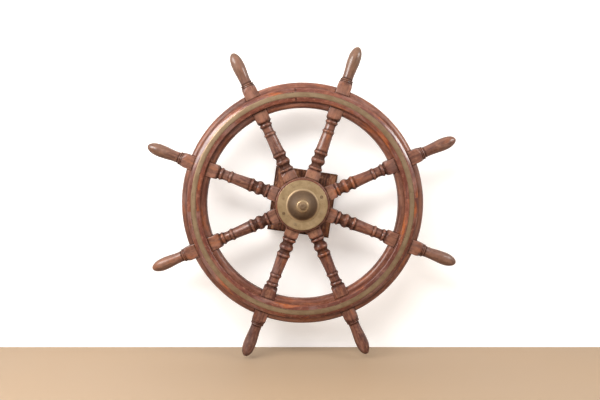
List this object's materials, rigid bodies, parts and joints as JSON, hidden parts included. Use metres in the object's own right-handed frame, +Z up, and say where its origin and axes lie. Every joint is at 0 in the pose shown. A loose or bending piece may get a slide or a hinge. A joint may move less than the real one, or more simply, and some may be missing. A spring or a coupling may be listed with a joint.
{
  "type": "ship steering wheel",
  "caption": "Wooden ship's steering wheel with turned spokes and handles, an inlaid brass rim band and a domed brass hub, turning on a shaft in a square wooden wall box.",
  "frame": {"origin": "centre of the wall box's back face, on the axle's line", "axes": "+Z up; the axle lies along Y, and the front of the wheel faces -Y, away from the wall; +X to the right seen from the front"},
  "size_m": [1.1419, 0.2481, 1.149],
  "materials": {
    "spoke_wood": "turned mahogany, aged varnish",
    "rim_wood": "mahogany, aged varnish, worn edges",
    "facing_wood": "moulded mahogany, glossy aged varnish",
    "box_wood": "dark stained hardwood, satin",
    "band_brass": "dull, tarnished",
    "hub_brass": "satin, lightly tarnished",
    "cap_brass": "dark patina, polished crown",
    "bearing_bronze": "machined bronze",
    "shaft_steel": "machined steel, oiled",
    "housing_iron": "cast, black"
  },
  "bodies": {
    "wall_box": {"box_front_board": "box_wood", "box_back_board": "box_wood", "box_top_board": "box_wood", "box_bottom_board": "box_wood", "box_left_board": "box_wood", "box_right_board": "box_wood", "bearing_housing": "housing_iron", "bearing_bush": "bearing_bronze", "thrust_washer": "bearing_bronze", "housing_screw_1": "shaft_steel", "housing_screw_2": "shaft_steel", "housing_screw_3": "shaft_steel", "housing_screw_4": "shaft_steel"},
    "wheel": {"spoke_1": "spoke_wood", "spoke_2": "spoke_wood", "spoke_3": "spoke_wood", "spoke_4": "spoke_wood", "spoke_5": "spoke_wood", "spoke_6": "spoke_wood", "spoke_7": "spoke_wood", "spoke_8": "spoke_wood", "felloe_1": "rim_wood", "felloe_2": "rim_wood", "felloe_3": "rim_wood", "felloe_4": "rim_wood", "felloe_5": "rim_wood", "felloe_6": "rim_wood", "felloe_7": "rim_wood", "felloe_8": "rim_wood", "front_facing_1": "facing_wood", "front_facing_2": "facing_wood", "front_facing_3": "facing_wood", "front_facing_4": "facing_wood", "rear_facing_1": "facing_wood", "rear_facing_2": "facing_wood", "rear_facing_3": "facing_wood", "rear_facing_4": "facing_wood", "brass_band_1": "band_brass", "brass_band_2": "band_brass", "nave_front_cheek": "rim_wood", "nave_rear_cheek": "rim_wood", "front_hub_plate": "hub_brass", "rear_hub_plate": "hub_brass", "hub_sleeve": "bearing_bronze", "hub_rivet_1": "cap_brass", "hub_rivet_2": "cap_brass", "hub_rivet_3": "cap_brass", "hub_rivet_4": "cap_brass", "hub_rivet_5": "cap_brass", "hub_rivet_6": "cap_brass", "hub_rivet_7": "cap_brass", "hub_rivet_8": "cap_brass", "dome_cap": "cap_brass", "cap_finial": "cap_brass", "shaft": "shaft_steel", "shaft_key": "shaft_steel", "shaft_washer": "shaft_steel", "shaft_nut": "shaft_steel", "shaft_collar": "shaft_steel", "collar_pin": "shaft_steel"}
  },
  "joints": [
    {"name": "wheel_spin", "type": "hinge", "parent": "wall_box", "child": "wheel", "pos_m": [0, -0.15, 0], "axis": [0, -1, 0], "continuous": true}
  ]
}
